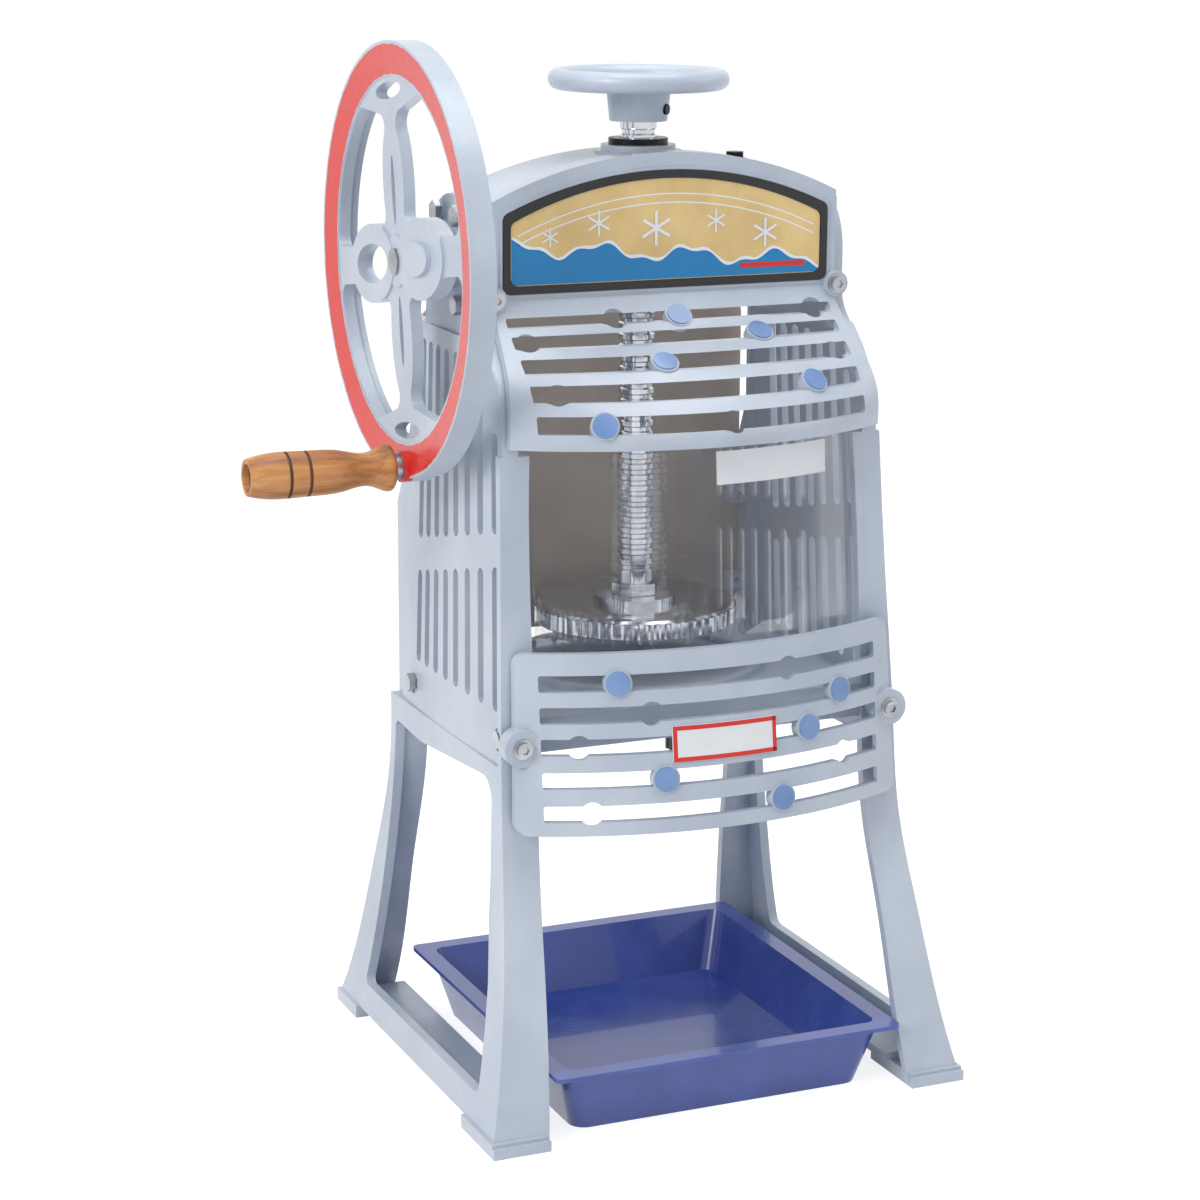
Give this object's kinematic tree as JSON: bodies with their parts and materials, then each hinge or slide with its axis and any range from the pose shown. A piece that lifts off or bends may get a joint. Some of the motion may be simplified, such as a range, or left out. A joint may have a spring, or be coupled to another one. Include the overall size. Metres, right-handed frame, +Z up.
{
  "type": "ice shaver with crank",
  "caption": "Hand-cranked block ice shaver with cast side frames, flywheel, bevel drive, screw-fed press, slotted hood and drip tray.",
  "frame": {"origin": "on the floor under the feed screw's axis, in the plane of the feet and the tray's underside", "axes": "+Z up along the feed screw, -Y to the front with the tray's opening side, -X towards the flywheel and crank"},
  "size_m": [0.399, 0.275, 0.614],
  "materials": {
    "paint": "glossy pale blue-grey paint over cast iron",
    "rubber": "black gasket",
    "label": null,
    "plate": "bare plate with a red border",
    "accent": "blue enamel",
    "clear_plastic": "clear bent sheet",
    "cover_plastic": "translucent beige sheet",
    "tray_plastic": "blue moulded plastic",
    "zinc": "zinc-plated steel",
    "black_steel": "blackened steel",
    "bronze": "sintered bronze",
    "steel": "ground steel",
    "gear_iron": "machined cast iron, greased",
    "chrome": "chromium plate",
    "wood": "turned and varnished hardwood",
    "knob_plastic": "black moulded plastic"
  },
  "bodies": {
    "frame": {"left_side_frame": "paint", "right_side_frame": "paint", "top_bridge": "paint", "hood": "paint", "lower_grille": "paint", "blade_table": "paint", "label_gasket": "rubber", "label_panel": "label", "grille_plate": "plate", "accent_discs": "accent", "front_window": "clear_plastic", "rear_cover": "cover_plastic", "table_bolts": "zinc", "hood_bolts": "zinc", "bridge_bolts": "zinc", "roof_bolt": "black_steel", "hood_screws": "zinc", "hood_washers": "zinc", "grille_screws": "zinc", "grille_washers": "zinc", "cover_screws": "zinc", "shaft_bush_outer": "bronze", "shaft_bush_inner": "bronze", "gear_bush": "bronze", "thrust_washer": "bronze"},
    "crank": {"flywheel": "paint", "crank_shaft": "steel", "pinion": "gear_iron", "pinion_pin": "steel", "crank_pin": "steel", "pin_collar": "steel", "pin_nut": "zinc"},
    "handle": {"grip": "wood"},
    "gear": {"drive_gear": "gear_iron", "gear_collar": "black_steel"},
    "press": {"press_disc": "chrome", "ice_spikes": "chrome", "disc_collar": "chrome"},
    "screw": {"feed_screw": "chrome", "screw_nut": "chrome", "handwheel": "paint", "handwheel_set_screw": "black_steel"},
    "blade_unit": {"blade_holder": "steel", "blade": "steel", "blade_screws": "zinc"},
    "knob": {"adjusting_knob": "knob_plastic", "adjusting_screw": "steel"},
    "drawer": {"tray": "tray_plastic"}
  },
  "joints": [
    {"name": "crank_turn", "type": "hinge", "parent": "frame", "child": "crank", "pos_m": [0, 0, 0.49], "axis": [1, 0, 0], "continuous": true},
    {"name": "grip_turn", "type": "hinge", "parent": "crank", "child": "handle", "pos_m": [-0.2, -0.01628, 0.37414], "axis": [1, 0, 0], "continuous": true},
    {"name": "gear_turn", "type": "hinge", "parent": "frame", "child": "gear", "pos_m": [0, 0, 0.49], "axis": [0, 0, 1], "continuous": true},
    {"name": "press_feed", "type": "slide", "parent": "gear", "child": "press", "axis": [0, 0, 1], "range_m": [-0.0091, 0.1501]},
    {"name": "screw_turn", "type": "hinge", "parent": "press", "child": "screw", "pos_m": [0, 0, 0.5], "axis": [0, 0, 1], "range_deg": [-498.46, 8307.69]},
    {"name": "blade_lift", "type": "slide", "parent": "frame", "child": "blade_unit", "axis": [0, 0, 1], "range_m": [0, 0.00075]},
    {"name": "knob_turn", "type": "hinge", "parent": "frame", "child": "knob", "pos_m": [0.038, -0.005, 0.19], "axis": [0, 0, 1], "range_deg": [0, 270.2]},
    {"name": "tray_slide", "type": "slide", "parent": "frame", "child": "drawer", "axis": [0, -1, 0], "range_m": [0, 0.24]}
  ],
  "couplings": [
    {"joint": "gear_turn", "follows": "crank_turn", "ratio": 0.5},
    {"joint": "press_feed", "follows": "screw_turn", "m_per_rad": 0.0010345},
    {"joint": "knob_turn", "follows": "blade_lift", "rad_per_m": 6283.2}
  ]
}
